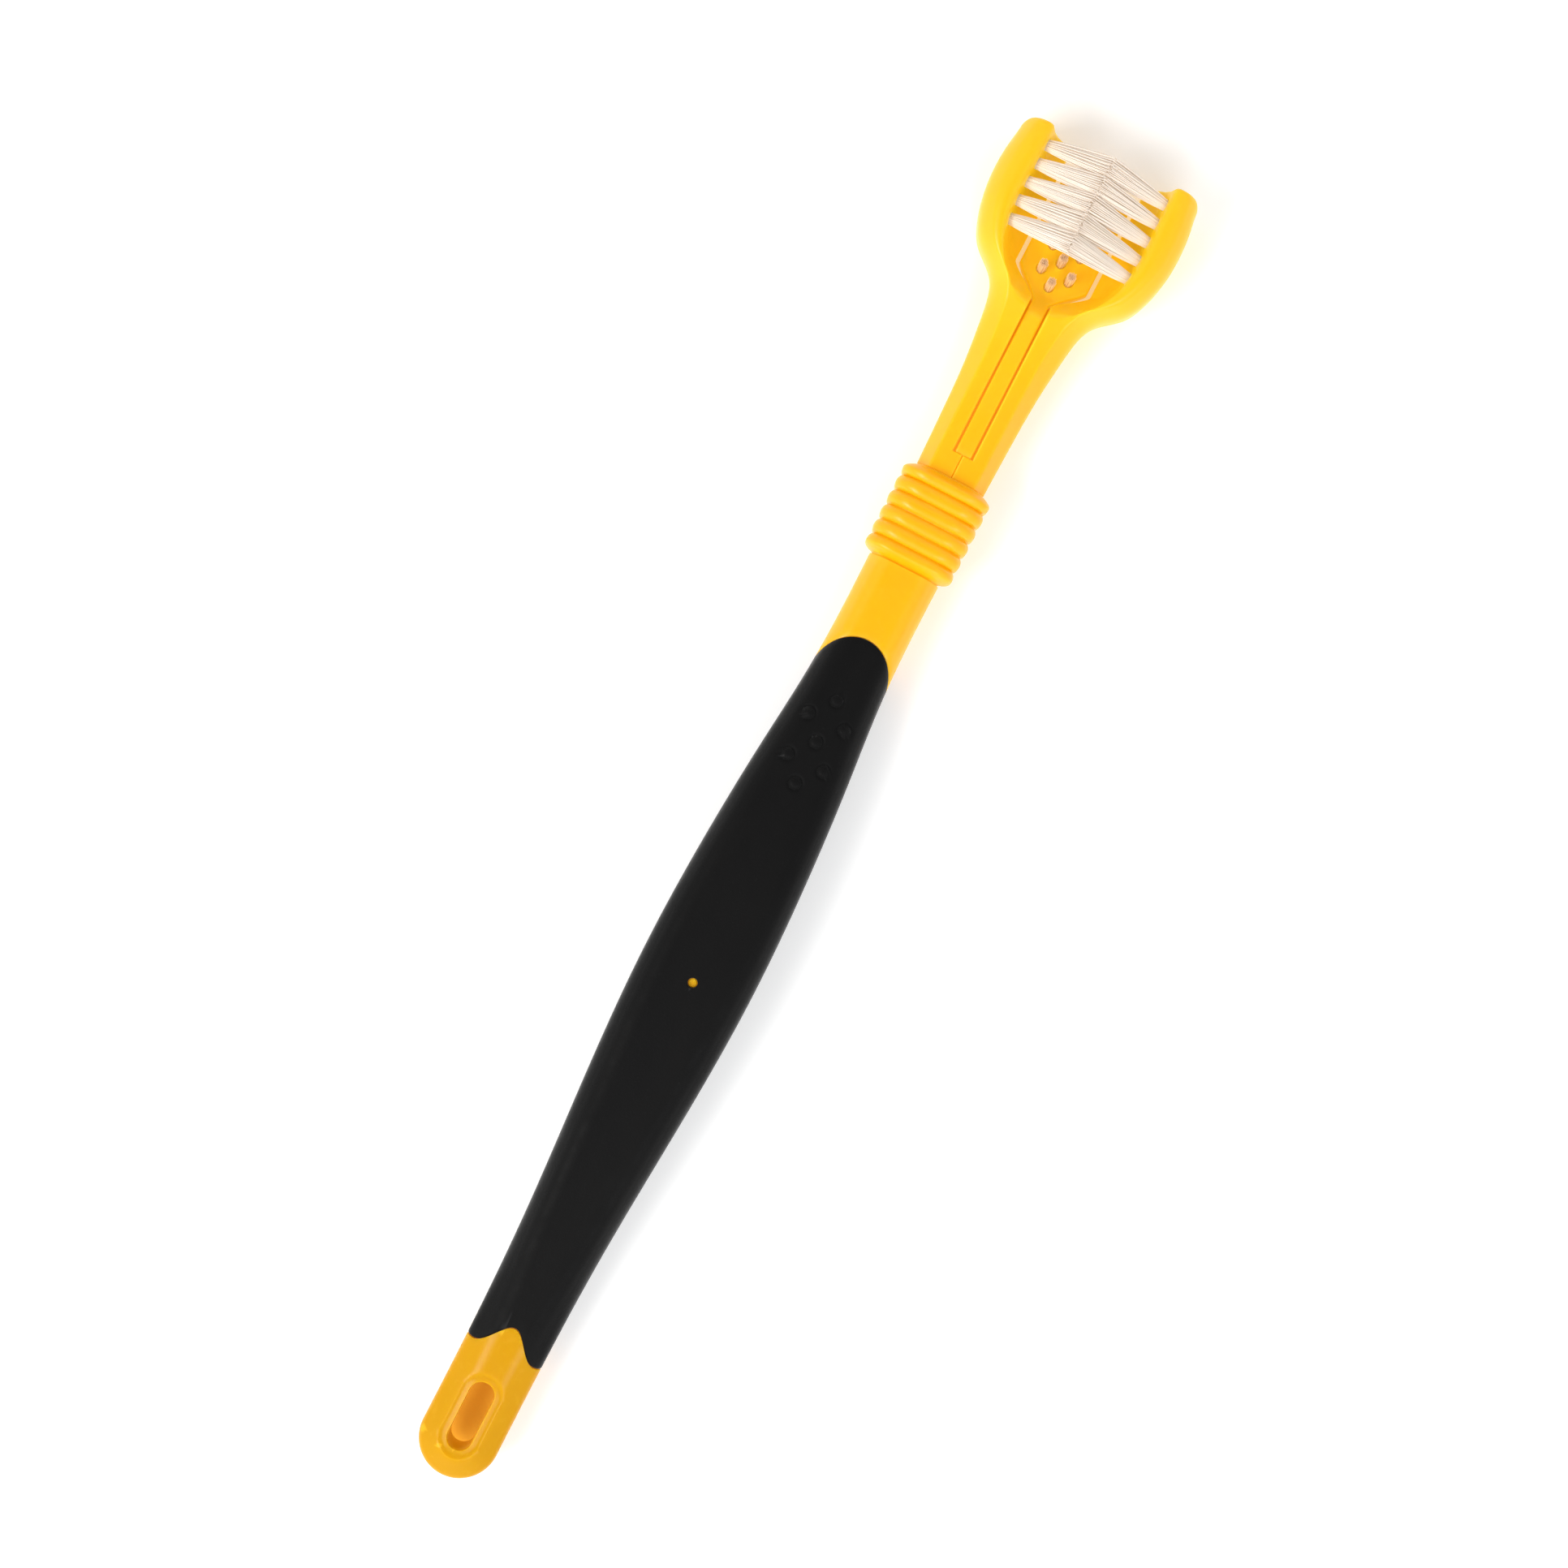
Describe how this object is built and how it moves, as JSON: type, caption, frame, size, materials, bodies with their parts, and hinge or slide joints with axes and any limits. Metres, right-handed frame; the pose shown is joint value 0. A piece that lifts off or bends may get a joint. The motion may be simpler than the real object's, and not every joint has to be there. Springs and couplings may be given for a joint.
{
  "type": "pet toothbrush",
  "caption": "Three-sided pet toothbrush: a soft-gripped handle with a hang slot, a ribbed collar, and a head of two springy side arms and a middle tongue that wrap a tooth with bristles.",
  "frame": {"origin": "under the middle of the brush, in the plane that it lies on, back down", "axes": "+X along the handle to the head, +Z out of the bristle side, +Y to the left arm"},
  "size_m": [0.215, 0.03, 0.0146],
  "materials": {
    "yellow_plastic": "glossy moulded",
    "black_rubber": "matte soft-touch",
    "nylon_bristle": "fine translucent nylon",
    "anchor_metal": "stamped wire"
  },
  "bodies": {
    "handle": {"handle_core": "yellow_plastic", "grip_overmould": "black_rubber", "retaining_collar": "yellow_plastic"},
    "left_wing": {"left_arm": "yellow_plastic", "left_tuft_anchors": "anchor_metal", "left_tuft_row_1": "nylon_bristle", "left_tuft_row_2": "nylon_bristle", "left_tuft_row_3": "nylon_bristle", "left_tuft_row_4": "nylon_bristle", "left_tuft_row_5": "nylon_bristle"},
    "right_wing": {"right_arm": "yellow_plastic", "right_tuft_anchors": "anchor_metal", "right_tuft_row_1": "nylon_bristle", "right_tuft_row_2": "nylon_bristle", "right_tuft_row_3": "nylon_bristle", "right_tuft_row_4": "nylon_bristle", "right_tuft_row_5": "nylon_bristle"},
    "tongue": {"centre_tongue": "yellow_plastic", "centre_tuft_anchors": "anchor_metal", "centre_tuft_row_1": "nylon_bristle", "centre_tuft_row_2": "nylon_bristle", "centre_tuft_row_3": "nylon_bristle", "centre_tuft_row_4": "nylon_bristle", "centre_tuft_row_5": "nylon_bristle", "centre_tuft_row_6": "nylon_bristle", "centre_tuft_row_7": "nylon_bristle", "centre_tuft_row_8": "nylon_bristle", "centre_tuft_row_9": "nylon_bristle"}
  },
  "joints": [
    {"name": "left_arm_flex", "type": "hinge", "parent": "handle", "child": "left_wing", "pos_m": [0.0556, 0.0046, 0.0055], "axis": [0, 0, 1], "range_deg": [0, 5], "stiffness_Nm_per_rad": 3.3},
    {"name": "right_arm_flex", "type": "hinge", "parent": "handle", "child": "right_wing", "pos_m": [0.0556, -0.0046, 0.0055], "axis": [0, 0, -1], "range_deg": [0, 5], "stiffness_Nm_per_rad": 3.3},
    {"name": "tongue_flex", "type": "hinge", "parent": "handle", "child": "tongue", "pos_m": [0.06, 0, 0.0061], "axis": [0, 1, 0], "range_deg": [0, 3], "stiffness_Nm_per_rad": 0.35}
  ]
}
